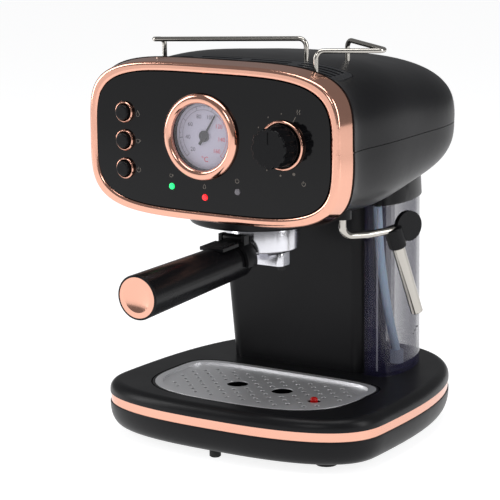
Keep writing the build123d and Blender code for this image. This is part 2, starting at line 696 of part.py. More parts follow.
feed_x, duct_y, duct_z = 28.0, 72.0, 225.0
boiler_back_y = group_y + 38.1
hose_routes = (
    (
        ((seal_x, seal_front_y, seal_z), (seal_x, 84.0, seal_z), (pump_x, 84.0, 54.0))
        + ((pump_x, pump_y, 52.0), (pump_x, pump_y, pump_low_z - 8)),
        5.0,
    ),
    (
        ((pump_x, pump_y, pump_high_z + 10), (pump_x, pump_y, 170.0), (pump_x, 76.0, 186.0))
        + ((pump_x, duct_y, duct_z), (0.0, duct_y, duct_z), (0.0, boiler_back_y, duct_z)),
        7.0,
    ),
    (
        ((feed_x, group_y, boiler_high_z), (feed_x, group_y, knob_z))
        + ((knob_x, group_y, knob_z), (knob_x, -40.0, knob_z)),
        8.0,
    ),
    (
        ((knob_x, -49.0, knob_z - 30), (knob_x, -49.0, 214.0))
        + ((wand_x, wand_y, 214.0), (wand_x, wand_y, socket_top_z)),
        4.0,
    ),
)

with BuildPart() as hoses:
    for route, bend in hose_routes:
        add(bent_wire(route, hose_radius, bend))
hoses.part.label = "hoses"
export_step(hoses.part, "parts/hoses.step")

# ---- water tank -----------------------------------------------------------------------------
tank_low_z, tank_high_z = base_top_z + rest_gap, 187.6
tank_wall = 2.2
tank_front_y = 62.0
tank_rear_front_y = column_back_y + 2.0


def tank_face(z, inset=0.0):
    """A bulge beside the column and a wide rear part, joined in one outline."""
    rise = (z - base_top_z) / 146.0
    bulge_left = 56.6 + inset
    front, left, back = tank_front_y + inset, -19.0 + inset, 156.0 - inset
    right = 80.5 - 1.0 * rise - inset
    rear_front = tank_rear_front_y + inset
    with BuildSketch(level(z)) as face:
        with BuildLine():
            nose_x, flank_x = right - 11.0, right - 44.0
            widest_y = tank_front_y + 27.0
            Polyline((left, rear_front), (bulge_left, rear_front), (bulge_left, front), (nose_x, front))
            EllipticalCenterArc((nose_x, widest_y), 11.0, widest_y - front, 270, arc_size=90)
            EllipticalCenterArc((flank_x, widest_y), 44.0, back - widest_y, 0, arc_size=90)
            Polyline((flank_x, back), (left, back), (left, rear_front))
        make_face()
        fillet(face.vertices().filter_by(lambda v: v.X < left + 1), radius=6.0 - inset)
    return face.sketch


with BuildPart() as tank_inside:
    floor, top = tank_low_z + 2.6, tank_high_z + 1
    loft([tank_face(floor, tank_wall).faces()[0], tank_face(top, tank_wall).faces()[0]])

with BuildPart() as water_tank:
    loft([tank_face(tank_low_z).faces()[0], tank_face(tank_high_z).faces()[0]])
    add(tank_inside.part, mode=Mode.SUBTRACT)
    extrude(disc(upright(tank_rear_front_y + 3), 5.0, seal_x, seal_z), amount=11.0)
    extrude(disc(upright(tank_rear_front_y + 5), 3.2, seal_x, seal_z), amount=20.0, mode=Mode.SUBTRACT)
water_tank.part.label = "water_tank"
export_step(water_tank.part, "parts/water_tank.step")

with BuildPart() as tank_seal:
    seal_back_y = column_back_y - 0.2
    extrude(ring(upright(seal_back_y), 9.0, 5.08, seal_x, seal_z), amount=seal_back_y - seal_front_y)
tank_seal.part.label = "tank_seal"
export_step(tank_seal.part, "parts/tank_seal.step")

collar_low_z, collar_high_z = tank_high_z + 0.8, 213.0

with BuildPart() as tank_collar:
    loft([tank_face(collar_low_z, -1.4).faces()[0], tank_face(collar_high_z, -0.4).faces()[0]])
    add(head_outer, mode=Mode.SUBTRACT)
tank_collar.part.label = "tank_collar"
export_step(tank_collar.part, "parts/tank_collar.step")

# ---- portafilter ---------------------------------------------------------------------------
bowl_bore, basket_radius, basket_wall = 26.2, 25.6, 0.5
basket_floor_z = 165.5
grip_axis_z = 150.5  # height of the handle's axis at its far end
grip_end_y, grip_root_y = -177.5, -39.5
grip_end_radius, grip_root_radius = 17.3, 14.8
grip_slope = 2.2  # degrees that the handle droops towards its end
grip_dir = Vector(0, -cos(radians(grip_slope)), -sin(radians(grip_slope)))
grip_root = Vector(0, grip_root_y, grip_axis_z + (grip_root_y - grip_end_y) * sin(radians(grip_slope)))
grip_length = (grip_root_y - grip_end_y) / cos(radians(grip_slope))
clip_low, clip_high = 13.6, 16.4  # distance of the basket clip's faces from the grip's axis


def along_grip(distance, lift=0.0):
    """A plane square to the handle, a distance from its root."""
    origin = grip_root + grip_dir * distance + Vector(0, 0, lift)
    return Plane(origin=origin, x_dir=(1, 0, 0), z_dir=grip_dir)


with BuildPart() as portafilter_body:
    extrude(disc(level(bowl_low_z), bowl_radius, 0, group_y), amount=group_low_z - 2.0 - bowl_low_z)
    fillet(portafilter_body.edges().group_by(Axis.Z)[0], radius=1.6)
    extrude(disc(level(group_low_z - 2.0), neck_radius, 0, group_y), amount=rim_z + 2.0 - group_low_z)
    for turn in (0, 180):
        add(arc_block(neck_radius - 1.0, lug_radius, lug_sweep, turn, lug_z, lug_z + lug_height))
    with BuildSketch(along_grip(0.0)):
        Circle(9.0)
    extrude(amount=-16.0)
    extrude(disc(level(bowl_low_z + 4.0), bowl_bore, 0, group_y), amount=60, mode=Mode.SUBTRACT)
    extrude(disc(level(rim_z - 0.5), 27.9, 0, group_y), amount=5, mode=Mode.SUBTRACT)
    extrude(disc(level(bowl_low_z - 1), 4.0, 0, group_y), amount=20, mode=Mode.SUBTRACT)
    with BuildSketch(along_grip(-14.0)):
        Circle(3.05)
    extrude(amount=20, mode=Mode.SUBTRACT)
portafilter_body.part.label = "portafilter_body"
export_step(portafilter_body.part, "parts/portafilter_body.step")

with BuildPart() as filter_basket:
    extrude(disc(level(rim_z - 0.5), 27.7, 0, group_y), amount=0.5)
    extrude(disc(level(basket_floor_z), basket_radius, 0, group_y), amount=rim_z - basket_floor_z - 0.5)
    hollow = disc(level(basket_floor_z + basket_wall), basket_radius - basket_wall, 0, group_y)
    extrude(hollow, amount=60, mode=Mode.SUBTRACT)
    with BuildSketch(level(basket_floor_z - 1)):
        with Locations((0, group_y)):
            for count, radius in ((1, 0.0), (6, 5.0), (12, 10.0), (18, 15.0), (24, 20.0)):
                with PolarLocations(radius, count):
                    Circle(0.7)
    extrude(amount=5, mode=Mode.SUBTRACT)
filter_basket.part.label = "filter_basket"
export_step(filter_basket.part, "parts/filter_basket.step")

spout_low_z, spout_reach = 146.0, 23.0

with BuildPart() as twin_spout:
    with BuildSketch(upright(group_y + 8.5)):
        with BuildLine():
            Polyline(
                (-9.0, bowl_low_z),
                (9.0, bowl_low_z),
                (11.0, 154.0),
                (spout_reach, 156.5),
                (spout_reach, spout_low_z),
                (-spout_reach, spout_low_z),
                (-spout_reach, 156.5),
                (-11.0, 154.0),
                close=True,
            )
        make_face()
    extrude(amount=17.0)
    fillet(twin_spout.edges().filter_by(Axis.Z).filter_by(lambda e: abs(e.center().X) > 20), radius=4.0)
    extrude(disc(level(bowl_low_z - 8), 3.5, 0, group_y), amount=20, mode=Mode.SUBTRACT)
    extrude(block(upright(group_y + 3), 42.0, 5.0, 0, 149.5), amount=6.0, mode=Mode.SUBTRACT)
    for x in (-18.5, 18.5):
        extrude(disc(level(spout_low_z - 1), 2.6, x, group_y), amount=6, mode=Mode.SUBTRACT)
twin_spout.part.label = "twin_spout"
export_step(twin_spout.part, "parts/twin_spout.step")

with BuildPart() as spout_tips:
    for x in (-18.5, 18.5):
        extrude(ring(level(spout_low_z - 4.0), 2.5, 1.5, x, group_y), amount=6.0)
        extrude(ring(level(spout_low_z - 4.0), 3.1, 1.5, x, group_y), amount=4.0)
spout_tips.part.label = "spout_tips"
export_step(spout_tips.part, "parts/spout_tips.step")

with BuildPart() as handle_grip:
    root_face = disc(along_grip(0.0), grip_root_radius).faces()[0]
    loft([root_face, disc(along_grip(grip_length), grip_end_radius).faces()[0]])
    fillet(handle_grip.edges().group_by(Axis.Y)[-1], radius=3.0)
    fillet(handle_grip.edges().group_by(Axis.Y)[0], radius=1.0)
    with BuildSketch(along_grip(grip_length - 2.6)):
        Circle(grip_end_radius - 1.6)
    extrude(amount=10, mode=Mode.SUBTRACT)
    with BuildSketch(along_grip(-5.0)):
        Circle(4.1)
    extrude(amount=64, mode=Mode.SUBTRACT)
    with BuildSketch(along_grip(3.0)):  # the flat that the basket clip lies on
        with Locations((0, clip_low - 0.3 + 10.0)):
            Rectangle(26.0, 20.0)
    extrude(amount=36.5, mode=Mode.SUBTRACT)
handle_grip.part.label = "handle_grip"
export_step(handle_grip.part, "parts/handle_grip.step")

cap_depth, dish_radius = 2.4, 42.0

with BuildPart() as handle_end_cap:
    with BuildSketch(along_grip(grip_length - 2.6)):
        Circle(grip_end_radius - 1.7)
    extrude(amount=cap_depth)
    with Locations(Location(grip_root + grip_dir * (grip_length - 1.8 + dish_radius))):
        Sphere(dish_radius, mode=Mode.SUBTRACT)
handle_end_cap.part.label = "handle_end_cap"
export_step(handle_end_cap.part, "parts/handle_end_cap.step")

with BuildPart() as handle_bolt:
    with BuildSketch(along_grip(-12.0)):
        Circle(3.0)
    extrude(amount=12.0)
    with BuildSketch(along_grip(0.0)):
        Circle(4.0)
    extrude(amount=56.0)
handle_bolt.part.label = "handle_bolt"
export_step(handle_bolt.part, "parts/handle_bolt.step")

# The basket clip lies on the handle and is hinged on a saddle over its root.
saddle_inner, saddle_outer, saddle_length = 15.35, 18.0, 13.0
saddle_slot_z = 168.4
pin_y, pin_z, pin_radius = -46.5, 173.4, 1.2
clip_half = 8.4

with BuildPart() as clip_saddle:
    with BuildSketch(along_grip(0.4)):
        Circle(saddle_outer)
        Circle(saddle_inner, mode=Mode.SUBTRACT)
    extrude(amount=saddle_length)
    split(bisect_by=level(152.0), keep=Keep.TOP)
    for side in (-1, 1):
        extrude(block(level(166.0), 3.0, 7.0, side * 10.6, pin_y), amount=10.2)
    with BuildSketch(along_grip(-2.0)):
        Circle(saddle_inner)
    extrude(amount=30, mode=Mode.SUBTRACT)
    slot = block(upright(-30), 2 * clip_half + 1.0, 30.0, 0, saddle_slot_z + 15.0)
    extrude(slot, amount=40, mode=Mode.SUBTRACT)
    with BuildSketch(Plane.YZ.offset(-12.1)):
        with Locations((pin_y, pin_z)):
            Circle(pin_radius)
    extrude(amount=24.2)
clip_saddle.part.label = "clip_saddle"
export_step(clip_saddle.part, "parts/clip_saddle.step")

with BuildPart() as basket_clip:
    with BuildSketch(Plane.YZ.offset(-clip_half)):
        with Locations((pin_y, pin_z)):
            Circle(3.1)
    extrude(amount=2 * clip_half)
    with BuildSketch(along_grip(6.0)):
        with Locations((0, (clip_low + clip_high) / 2)):
            Rectangle(2 * clip_half, clip_high - clip_low)
    extrude(amount=10.0)
    with BuildSketch(along_grip(16.0)):
        with Locations((0, (clip_low + clip_high) / 2)):
            Rectangle(22.0, clip_high - clip_low)
    extrude(amount=22.0)
    for step in range(5):
        with BuildSketch(along_grip(20.0 + 3.4 * step)):
            with Locations((0, clip_high + 0.4)):
                Rectangle(18.0, 0.8)
        extrude(amount=1.6)
    with BuildSketch(Plane.YZ.offset(-12)):
        with Locations((pin_y, pin_z)):
            Circle(pin_radius + 0.05)
    extrude(amount=24, mode=Mode.SUBTRACT)
basket_clip.part.label = "basket_clip"
export_step(basket_clip.part, "parts/basket_clip.step")

# ---- steam wand -----------------------------------------------------------------------------
pipe_radius, nozzle_radius, sleeve_radius, disc_radius = 3.0, 5.0, 7.2, 12.0
heading = Vector(cos(radians(wand_heading)), sin(radians(wand_heading)), 0)


def in_wand(reach, z):
    """A point in the wand's own upright plane, a reach out from the swivel's axis."""
    return Vector(wand_x, wand_y, z) + heading * reach


nozzle_top, nozzle_tip = in_wand(54.1, 163.8), in_wand(73.4, 108.6)
nozzle_dir = (nozzle_tip - nozzle_top).normalized()

with BuildPart() as wand_socket:
    extrude(disc(level(socket_low_z), socket_radius, wand_x, wand_y), amount=socket_top_z - socket_low_z)
    swivel = disc(level(socket_low_z - 1), pipe_radius + 0.06, wand_x, wand_y)
    extrude(swivel, amount=12.5, mode=Mode.SUBTRACT)
wand_socket.part.label = "wand_socket"
export_step(wand_socket.part, "parts/wand_socket.step")

with BuildPart() as wand_pipe:
    route = [in_wand(0, socket_low_z + 11.0), in_wand(0, 178.8), in_wand(24.0, 177.2), in_wand(52.0, 178.2)]
    add(bent_wire([tuple(point) for point in route], pipe_radius, [9.0, 20.0]))
wand_pipe.part.label = "wand_pipe"
export_step(wand_pipe.part, "parts/wand_pipe.step")

with BuildPart() as wand_grip:
    with BuildSketch(Plane(origin=nozzle_top - nozzle_dir * 17.0, z_dir=nozzle_dir)):
        Circle(sleeve_radius)
    extrude(amount=17.0)
    fillet(wand_grip.edges(), radius=1.2)
    with BuildSketch(Plane(origin=in_wand(63.7, 180.0), x_dir=heading, z_dir=heading.rotate(Axis.Z, -90))):
        Circle(disc_radius)
    extrude(amount=2.2, both=True)
    add(wand_pipe.part, mode=Mode.SUBTRACT)
wand_grip.part.label = "wand_grip"
export_step(wand_grip.part, "parts/wand_grip.step")

with BuildPart() as wand_nozzle:
    with BuildSketch(Plane(origin=nozzle_top, z_dir=nozzle_dir)):
        Circle(nozzle_radius)
    extrude(amount=(nozzle_tip - nozzle_top).length)
    chamfer(wand_nozzle.edges().group_by(Axis.Z)[0], length=0.8)
    with BuildSketch(Plane(origin=nozzle_top + nozzle_dir * 2.0, z_dir=nozzle_dir)):
        Circle(3.4)
    extrude(amount=80, mode=Mode.SUBTRACT)
wand_nozzle.part.label = "wand_nozzle"
export_step(wand_nozzle.part, "parts/wand_nozzle.step")
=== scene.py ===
# %% [markdown]
# An espresso machine, finished for looks around its CAD frame. The frame brings every
# part of the machine at its true size and place, so a camera, light and finishes come
# first, and then the pieces that the CAD leaves out: the printed marks, and the hose, the
# strainer, the rib and the level marks of the water tank.

import json
import math

import bmesh
import bpy
from mathutils import Matrix, Vector


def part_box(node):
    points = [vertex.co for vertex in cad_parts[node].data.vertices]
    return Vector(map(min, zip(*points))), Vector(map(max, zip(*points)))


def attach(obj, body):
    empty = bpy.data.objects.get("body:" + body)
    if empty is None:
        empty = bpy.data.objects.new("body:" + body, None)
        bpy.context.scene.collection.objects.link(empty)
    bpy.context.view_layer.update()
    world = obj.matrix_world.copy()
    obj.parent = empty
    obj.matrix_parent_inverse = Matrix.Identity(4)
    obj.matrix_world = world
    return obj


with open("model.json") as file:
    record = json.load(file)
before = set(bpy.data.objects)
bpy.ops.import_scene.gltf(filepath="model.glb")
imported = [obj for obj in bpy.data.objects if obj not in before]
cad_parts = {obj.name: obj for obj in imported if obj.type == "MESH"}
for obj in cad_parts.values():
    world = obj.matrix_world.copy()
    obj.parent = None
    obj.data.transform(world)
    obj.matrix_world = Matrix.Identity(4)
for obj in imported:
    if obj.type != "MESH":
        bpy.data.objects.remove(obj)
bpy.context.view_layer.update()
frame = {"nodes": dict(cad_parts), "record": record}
nodes = frame["nodes"]
MM = 0.001

# %% [markdown]
# The machine is looked at from its front right, a little above the counter, through a
# long lens. A long lens keeps the rounded base and the head from swelling towards the
# viewer, as a product picture does. The camera is turned by its forward direction and a
# very small roll, which is simpler to reason about than three separate angles.

# %% Camera
camera_place = Vector((905.4, -1423.3, 502.8)) * MM
camera_forward = Vector((-0.5318, 0.8225, -0.2018)).normalized()
camera_roll = math.radians(-0.47)
lens_mm = 154.0

camera_data = bpy.data.cameras.new("camera")
camera = bpy.data.objects.new("camera", camera_data)
bpy.context.scene.collection.objects.link(camera)
turn = camera_forward.to_track_quat("-Z", "Y").to_matrix()
turn = turn @ Matrix.Rotation(camera_roll, 3, "Z")
camera.matrix_world = Matrix.Translation(camera_place) @ turn.to_4x4()
camera_data.lens = lens_mm
camera_data.sensor_width = 36.0
camera_data.clip_start = 0.05
bpy.context.scene.camera = camera
print("camera", tuple(round(v, 3) for v in camera.location))

# %% [markdown]
# Dark, glossy things are drawn by what they reflect. Big soft lamps at the left, the
# right and above give the long highlights on the metal trim and on the handle, and a dim
# world fills the rest, so that black plastic stays dark but never falls to pure black. Area
# lamps are softer than points or a sun, because they have a size that shows in reflections.

# %% Lights and floor
def area_light(name, place, aim, size, watts):
    """A soft rectangular lamp that looks at a point."""
    data = bpy.data.lights.new(name, "AREA")
    data.shape = "RECTANGLE"
    data.size, data.size_y = size
    data.energy = watts
    lamp = bpy.data.objects.new(name, data)
    bpy.context.scene.collection.objects.link(lamp)
    lamp.location = place
    lamp.rotation_euler = (Vector(aim) - Vector(place)).to_track_quat("-Z", "Y").to_euler()
    return lamp


middle = (0.0, 0.0, 0.17)
world_grey, world_strength = (0.93, 0.94, 0.96, 1), 0.24
floor_size = 8.0
area_light("left_softbox", (-1.35, -0.85, 0.75), middle, (0.5, 1.3), 12)
area_light("right_softbox", (1.5, 0.15, 0.8), middle, (0.45, 1.3), 10)
area_light("top_softbox", (0.1, -0.25, 1.7), middle, (1.3, 0.8), 13)
area_light("front_softbox", (0.45, -1.9, 1.05), middle, (0.5, 0.5), 5)

world = bpy.data.worlds.new("studio")
world.use_nodes = True
world.node_tree.nodes["Background"].inputs["Color"].default_value = world_grey
world.node_tree.nodes["Background"].inputs["Strength"].default_value = world_strength
bpy.context.scene.world = world
bpy.context.scene.view_settings.view_transform = "Standard"

bpy.ops.object.select_all(action="DESELECT")
bpy.ops.mesh.primitive_plane_add(size=floor_size, location=(0, 0, 0))
floor = bpy.context.active_object
floor.name = "floor"


# %% [markdown]
# A finish is a small graph of nodes. Three helpers keep each one short: one turns a hex
# colour, as a paint chart gives it, into the linear numbers a shader needs; one adds a
# node with its settings and links; and one starts a material with its shader. Patterns
# read Object coordinates, which are metres here, so a pattern's scale is one over the
# real size of its grain.

# %% Material helpers
def linear(hex_colour, alpha=1.0):
    """An sRGB hex colour as linear light."""
    channels = [int(hex_colour[i:i + 2], 16) / 255 for i in (1, 3, 5)]
    values = [c / 12.92 if c <= 0.04045 else ((c + 0.055) / 1.055) ** 2.4 for c in channels]
    return (*values, alpha)


def add_node(material, kind, settings=None, inputs=None, links=None):
    """One node, with its settings, its socket values, and links as {input: (node, output)}."""
    tree = material.node_tree
    made = tree.nodes.new(kind)
    for key, value in (settings or {}).items():
        setattr(made, key, value)
    for key, value in (inputs or {}).items():
        made.inputs[key].default_value = value
    for key, (source, output) in (links or {}).items():
        tree.links.new(source.outputs[output], made.inputs[key])
    return made


def new_finish(name, colour, roughness, metallic=0.0, **more):
    """A material and its shader, with the plain values set on the shader's own sockets."""
    material = bpy.data.materials.new(name)
    material.use_nodes = True
    shader = material.node_tree.nodes["Principled BSDF"]
    shader.inputs["Base Color"].default_value = linear(colour)
    shader.inputs["Roughness"].default_value = roughness
    shader.inputs["Metallic"].default_value = metallic
    for key, value in more.items():
        shader.inputs[key.replace("_", " ")].default_value = value
    return material, shader


def grain(material, grain_mm, detail=2.0, stretch=(1, 1, 1)):
    """Noise whose cells are grain_mm wide, longer along an axis whose stretch is above one."""
    place = add_node(material, "ShaderNodeTexCoord")
    scale = tuple(1 / s for s in stretch)
    source = {"Vector": (place, "Object")}
    mapping = add_node(material, "ShaderNodeMapping", inputs={"Scale": scale}, links=source)
    values = {"Scale": 1 / (grain_mm * MM), "Detail": detail}
    source = {"Vector": (mapping, "Vector")}
    return add_node(material, "ShaderNodeTexNoise", inputs=values, links=source)


def spread(material, source, output, low, high):
    """Turns a 0 to 1 pattern into a range of values, such as of roughness."""
    values = {"To Min": low, "To Max": high}
    return add_node(material, "ShaderNodeMapRange", inputs=values, links={"Value": (source, output)})


def bump(material, shader, source, output, depth_mm, strength=1.0):
    """Raises the surface by a pattern, by a real depth."""
    values = {"Distance": depth_mm * MM, "Strength": strength}
    raised = add_node(material, "ShaderNodeBump", inputs=values, links={"Height": (source, output)})
    material.node_tree.links.new(raised.outputs["Normal"], shader.inputs["Normal"])
    return raised


def link_in(material, source, output, shader, socket):
    material.node_tree.links.new(source.outputs[output], shader.inputs[socket])


# %% [markdown]
# The housing is moulded black ABS with a fine satin spark-eroded grain. The grain
# scatters highlights into soft grey gradients, so the plastic reads as dark grey where
# lamps meet it. The real grain is about 0.2 mm, too fine to show, so it is drawn at
# 0.6 mm and kept shallow. A slow second noise varies the roughness a little, as handling
# and mould wear do.

# %% Moulded plastics
def satin_abs(name, colour, roughness, grain_mm=0.6, depth_mm=0.012):
    material, shader = new_finish(name, colour, roughness, IOR=1.54, Specular_IOR_Level=0.15)
    fine = grain(material, grain_mm, detail=3.0)
    bump(material, shader, fine, "Fac", depth_mm, 0.5)
    slow = grain(material, 35.0)
    rough = spread(material, slow, "Fac", roughness - 0.05, roughness + 0.06)
    link_in(material, rough, "Result", shader, "Roughness")
    return material


# The specular level of these plastics is below that of bare ABS, which would mirror the
# bright floor and turn the black mouldings grey.
black_abs = satin_abs("satin_black_abs", "#121214", 0.34)
grip_abs = satin_abs("fine_black_abs", "#0E0E10", 0.26, 0.5, 0.004)
plate_abs = satin_abs("grey_abs", "#26272A", 0.42)
needle_paint = satin_abs("grey_painted_pointer", "#26262B", 0.5)


def gloss_abs(name, colour, roughness, **more):
    """Polished mould, no grain: a clear, slightly wavy reflection."""
    material, shader = new_finish(name, colour, roughness, IOR=1.54, Specular_IOR_Level=0.2, **more)
    waves = grain(material, 28.0)
    bump(material, shader, waves, "Fac", 0.02, 0.25)
    rough = spread(material, grain(material, 9.0), "Fac", max(roughness - 0.02, 0.02), roughness + 0.03)
    link_in(material, rough, "Result", shader, "Roughness")
    return material


panel_gloss = gloss_abs("gloss_black_panel", "#09090B", 0.07)
float_red = gloss_abs("moulded_red", "#B3120F", 0.25)
board_green = satin_abs("solder_mask", "#123F22", 0.35)
dial_white = satin_abs("printed_dial", "#BDB9CB", 0.55, 0.4, 0.002)
print(len(bpy.data.materials), "materials so far")

# %% [markdown]
# The trim is copper-toned plating over polished plastic or steel: a mirror with a warm
# pink tint. Plating is a metal, so colour goes in the base colour, and the roughness stays
# very low. A broad, shallow wave bends the reflections as thin plated mouldings do, and a
# faint noise in roughness stands for polishing marks.

# %% Metals
def polished(name, colour, roughness, wave_mm=30.0, wave_depth=0.02):
    material, shader = new_finish(name, colour, roughness, 1.0)
    bump(material, shader, grain(material, wave_mm), "Fac", wave_depth, 0.3)
    rough = spread(material, grain(material, 5.0, 4.0), "Fac", max(roughness - 0.03, 0.02), roughness + 0.05)
    link_in(material, rough, "Result", shader, "Roughness")
    return material


rose_gold = polished("rose_gold_plate", "#E9B09A", 0.11)
bright_steel = polished("polished_stainless", "#B9B5AE", 0.14)
bright_aluminium = polished("polished_die_casting", "#DADADF", 0.2)
plated_steel = polished("zinc_plate", "#B9BCC2", 0.32)
brass = polished("machined_brass", "#C9A35A", 0.28)


def brushed(name, colour, roughness, line_mm, stretch):
    """Stainless sheet with a directional brush: long thin scratches in bump and roughness."""
    material, shader = new_finish(name, colour, roughness, 1.0)
    lines = grain(material, line_mm, 4.0, stretch)
    bump(material, shader, lines, "Fac", 0.01, 0.5)
    rough = spread(material, lines, "Fac", roughness - 0.08, roughness + 0.12)
    link_in(material, rough, "Result", shader, "Roughness")
    return material


brushed_steel = brushed("satin_stainless", "#F0F0F2", 0.5, 0.5, (40, 1, 1))
sheet_steel = brushed("turned_stainless", "#C6C7CA", 0.24, 0.5, (1, 1, 12))
cast_metal = satin_abs("cast_aluminium", "#A3A4A8", 0.45)
cast_metal.node_tree.nodes["Principled BSDF"].inputs["Metallic"].default_value = 1.0

# %% [markdown]
# The tank is injection-moulded clear plastic with a faint cool tint, and the gauge's window
# is a clear disc. Plain transmission would need many bounces and shows the inside walls
# black, so the tank mixes a clear pass-through with a gloss coat: light goes straight
# through and edges still catch highlights, which is how thin clear walls look.

# %% Clear plastics
def clear_plastic(name, tint, roughness, face_on, edge_on, power=1.0):
    """Thin clear wall: mostly pass-through face on, more gloss and tint at grazing angles."""
    material, shader = new_finish(name, tint, roughness, IOR=1.49)
    tree = material.node_tree
    facing = add_node(material, "ShaderNodeLayerWeight", inputs={"Blend": 0.35})
    cover = spread(material, facing, "Facing", face_on, edge_on)
    tree.links.new(cover.outputs["Result"], shader.inputs["Alpha"])
    bump(material, shader, grain(material, 24.0), "Fac", 0.03, 0.3)
    material.surface_render_method = "BLENDED"
    return material


tank_clear = clear_plastic("clear_tank_moulding", "#2B2844", 0.04, 0.12, 0.85)
lens_clear = clear_plastic("clear_window", "#F4F4F8", 0.03, 0.03, 0.35)


def lamp_lens(name, colour, glow):
    material, shader = new_finish(name, colour, 0.15, IOR=1.49, Emission_Strength=glow)
    shader.inputs["Emission Color"].default_value = linear(colour)
    bump(material, shader, grain(material, 1.2), "Fac", 0.03, 0.4)
    return material


lamp_green = lamp_lens("green_lamp", "#1FE074", 1.25)
lamp_red = lamp_lens("red_lamp", "#F5242B", 1.1)
lamp_smoke = lamp_lens("smoked_lamp", "#6D6A70", 0.0)


def rubber(name, colour, roughness):
    material, shader = new_finish(name, colour, roughness, IOR=1.5)
    bump(material, shader, grain(material, 0.8, 4.0), "Fac", 0.05, 0.6)
    return material


foot_rubber = rubber("moulded_rubber", "#121212", 0.75)
hose_silicone = rubber("milky_silicone", "#D8D5CC", 0.4)

finishes = {
    "black_abs": black_abs,
    "panel_gloss": panel_gloss,
    "rose_gold": rose_gold,
    "brushed_steel": brushed_steel,
    "steel_wire": bright_steel,
    "polished_aluminium": bright_aluminium,
    "cast_aluminium": cast_metal,
    "brass": brass,
    "plated_steel": plated_steel,
    "clear_tank": tank_clear,
    "clear_lens": lens_clear,
    "dial_white": dial_white,
    "needle_grey": needle_paint,
    "float_red": float_red,
    "led_green": lamp_green,
    "led_red": lamp_red,
    "led_smoke": lamp_smoke,
    "cup_plate_grey": plate_abs,
    "rubber": foot_rubber,
    "silicone": hose_silicone,
    "board_green": board_green,
}


def dress(obj, material):
    obj.data.materials.clear()
    obj.data.materials.append(material)


for entry in frame["record"]["subparts"]:
    dress(nodes[entry["node"]], finishes[entry["material_slot"]])
for name in ("filter_basket", "shower_screen"):
    dress(nodes[name], sheet_steel)
for name in ("handle_grip", "steam_knob", "wand_grip"):
    dress(nodes[name], grip_abs)

# The floor is a grey sheet that glows a little, so that it is as white far off as it is near
# the lamps, without more light in the room to lift the black plastics.
floor_glow = 0.86
floor_paint, floor_shader = new_finish("pale_floor", "#A6A6A8", 0.8)
floor_shader.inputs["Emission Color"].default_value = linear("#FFFFFF")
floor_shader.inputs["Emission Strength"].default_value = floor_glow
dress(floor, floor_paint)

# %% [markdown]
# The CAD solids have sharp corners, and a real moulding or pressing never does: the thin
# bright line along a rounded edge is what tells the eye that a thing has thickness. A
# bevel modifier adds that line and leaves the CAD mesh itself alone. The mesh is loose
# triangles, so it is welded first and its flat faces are joined, or the bevel would find
# an edge round every triangle.

# %% Soft edges on the CAD nodes
def soften(name, width_mm, segments=2, angle=32):
    """Rounds a node's corners by live modifiers: weld, join flat faces, bevel."""
    node = nodes[name]
    weld = node.modifiers.new("weld", "WELD")
    weld.merge_threshold = 0.00001
    joined = node.modifiers.new("flat_faces", "DECIMATE")
    joined.decimate_type = "DISSOLVE"
    joined.angle_limit = math.radians(0.4)
    bevel = node.modifiers.new("soft_edge", "BEVEL")
    bevel.width = width_mm * MM
    bevel.segments = segments
    bevel.limit_method = "ANGLE"
    bevel.angle_limit = math.radians(angle)
    bevel.use_clamp_overlap = True
    bevel.harden_normals = False


soft_nodes = {
    "base_top_cover": 0.5,
    "base_tub": 0.5,
    "drip_grid": 0.35,
    "drip_tray": 0.3,
    "group_cover": 0.4,
    "gauge_bezel": 0.3,
    "knob_ring": 0.3,
    "button_rings": 0.25,
    "steam_knob": 0.35,
    "twin_spout": 0.8,
    "basket_clip": 0.6,
    "clip_saddle": 0.5,
    "portafilter_body": 0.4,
    "tank_collar": 0.6,
    "cord_inlet": 0.4,
    "column_back_cover": 0.3,
}
for name, width_mm in soft_nodes.items():
    soften(name, width_mm)
print("softened", len(soft_nodes), "nodes")

# %% [markdown]
# Three small habits keep the modelling tidy. Before an operator runs, only the piece that
# it should act on is selected. When a piece is done, its place is applied to its mesh, so
# that patterns on Object coordinates stay put and the piece can ride on a body. Pieces
# made of several shapes are joined.

# %% Modelling helpers
def work_on(obj):
    """Selects this object alone and makes it the active one."""
    bpy.ops.object.select_all(action="DESELECT")
    obj.select_set(True)
    bpy.context.view_layer.objects.active = obj
    return obj


def settle(obj, name, material, body):
    """Ends a piece: a mesh, placed in its own coordinates, dressed and riding on a body."""
    work_on(obj)
    if obj.type != "MESH":
        bpy.ops.object.convert(target="MESH")
        obj = bpy.context.active_object
    bpy.ops.object.transform_apply(location=True, rotation=True, scale=True)
    obj.name = name
    dress(obj, material)
    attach(obj, body)
    print(name, "faces", len(obj.data.polygons), "on", body)
    return obj


def join(pieces):
    """Several meshes as one, in the first one's place."""
    work_on(pieces[0])
    for piece in pieces[1:]:
        piece.select_set(True)
    bpy.ops.object.join()
    return bpy.context.active_object


def center_of(node):
    low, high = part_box(node)
    return [(a + b) / 2 / MM for a, b in zip(low, high)]
